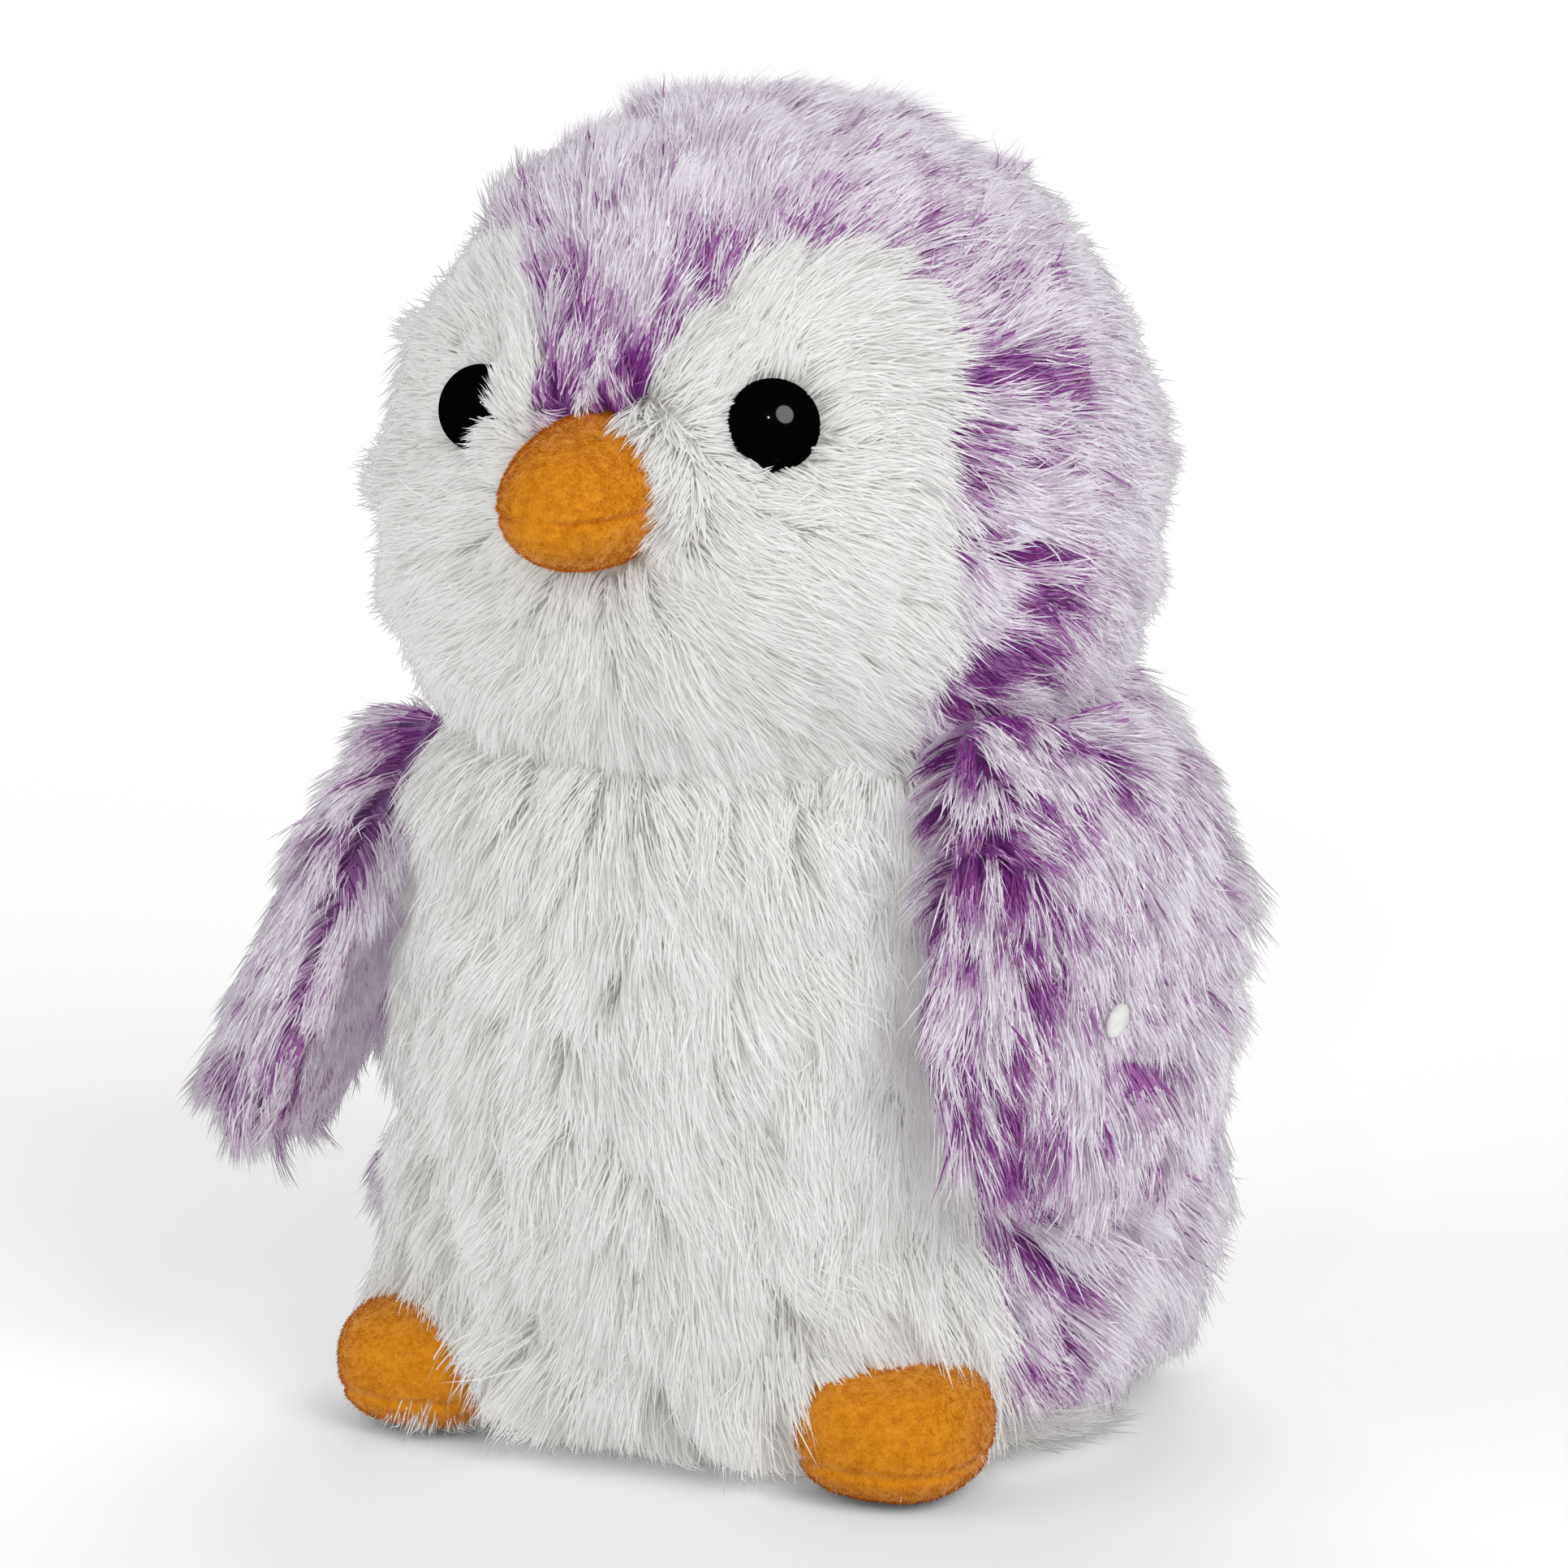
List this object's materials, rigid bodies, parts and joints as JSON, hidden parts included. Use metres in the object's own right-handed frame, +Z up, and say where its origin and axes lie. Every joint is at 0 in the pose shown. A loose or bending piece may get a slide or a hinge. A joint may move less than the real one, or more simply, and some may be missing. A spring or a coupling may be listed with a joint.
{
  "type": "plush penguin",
  "caption": "Stuffed penguin toy with a round head, egg-shaped body, flipper wings, felt beak and feet, domed eyes and frosted long pile; head, wings and feet flex.",
  "frame": {"origin": "on the floor, on the body's axis, at the middle of the base panel", "axes": "+Z up, the toy faces -Y, its left side is +X"},
  "size_m": [0.1424, 0.1293, 0.1797],
  "materials": {
    "plush_purple": "long frosted pile, dark at the root and pale at the tip",
    "plush_white": "long white pile",
    "stuffing": "loose polyester fibre",
    "orange_felt": "short brushed nap",
    "eye_black": "polished dome",
    "washer_white": "moulded, unpolished",
    "bag_cotton": "plain woven cotton",
    "pellet_plastic": "plain moulded",
    "thread": "twisted polyester thread"
  },
  "bodies": {
    "body": {"belly_left": "plush_white", "belly_right": "plush_white", "back_left": "plush_purple", "back_right": "plush_purple", "base_panel": "plush_white", "body_fill": "stuffing", "pellet_bag": "bag_cotton", "pellets": "pellet_plastic", "closing_stitches": "thread"},
    "neck": {"neck_fill": "stuffing"},
    "head": {"crown_gusset": "plush_purple", "head_side_left": "plush_purple", "head_side_right": "plush_purple", "face_left": "plush_white", "face_right": "plush_white", "head_fill": "stuffing", "beak_upper": "orange_felt", "beak_lower": "orange_felt", "beak_fill": "stuffing", "eye_left": "eye_black", "eye_right": "eye_black", "eye_washer_left": "washer_white", "eye_washer_right": "washer_white"},
    "wing_left": {"wing_outer_left": "plush_purple", "wing_inner_left": "plush_purple", "wing_fill_left": "stuffing", "tag_pin": "washer_white"},
    "wing_right": {"wing_outer_right": "plush_purple", "wing_inner_right": "plush_purple", "wing_fill_right": "stuffing"},
    "foot_left": {"foot_upper_left": "orange_felt", "foot_sole_left": "orange_felt", "foot_fill_left": "stuffing"},
    "foot_right": {"foot_upper_right": "orange_felt", "foot_sole_right": "orange_felt", "foot_fill_right": "stuffing"}
  },
  "joints": [
    {"name": "neck_turn", "type": "hinge", "parent": "body", "child": "neck", "pos_m": [0, -0.008, 0.1235], "axis": [0, 0, 1], "range_deg": [-20, 20], "stiffness_Nm_per_rad": 0.6},
    {"name": "neck_nod", "type": "hinge", "parent": "neck", "child": "head", "pos_m": [0, -0.008, 0.1235], "axis": [1, 0, 0], "range_deg": [-10, 12], "stiffness_Nm_per_rad": 0.6},
    {"name": "wing_left_flap", "type": "hinge", "parent": "body", "child": "wing_left", "pos_m": [0.05498, -0.01577, 0.091], "axis": [-0.2973, -0.9148, 0.2736], "range_deg": [0, 65], "stiffness_Nm_per_rad": 0.08},
    {"name": "wing_right_flap", "type": "hinge", "parent": "body", "child": "wing_right", "pos_m": [-0.05498, -0.01577, 0.091], "axis": [-0.2957, 0.953, -0.0663], "range_deg": [-10, 55], "stiffness_Nm_per_rad": 0.08},
    {"name": "foot_left_flex", "type": "hinge", "parent": "body", "child": "foot_left", "pos_m": [0.0345, -0.028, 0.0089], "axis": [-1, 0, 0], "range_deg": [0, 18], "stiffness_Nm_per_rad": 0.04},
    {"name": "foot_right_flex", "type": "hinge", "parent": "body", "child": "foot_right", "pos_m": [-0.0345, -0.028, 0.0089], "axis": [-1, 0, 0], "range_deg": [0, 18], "stiffness_Nm_per_rad": 0.04}
  ]
}
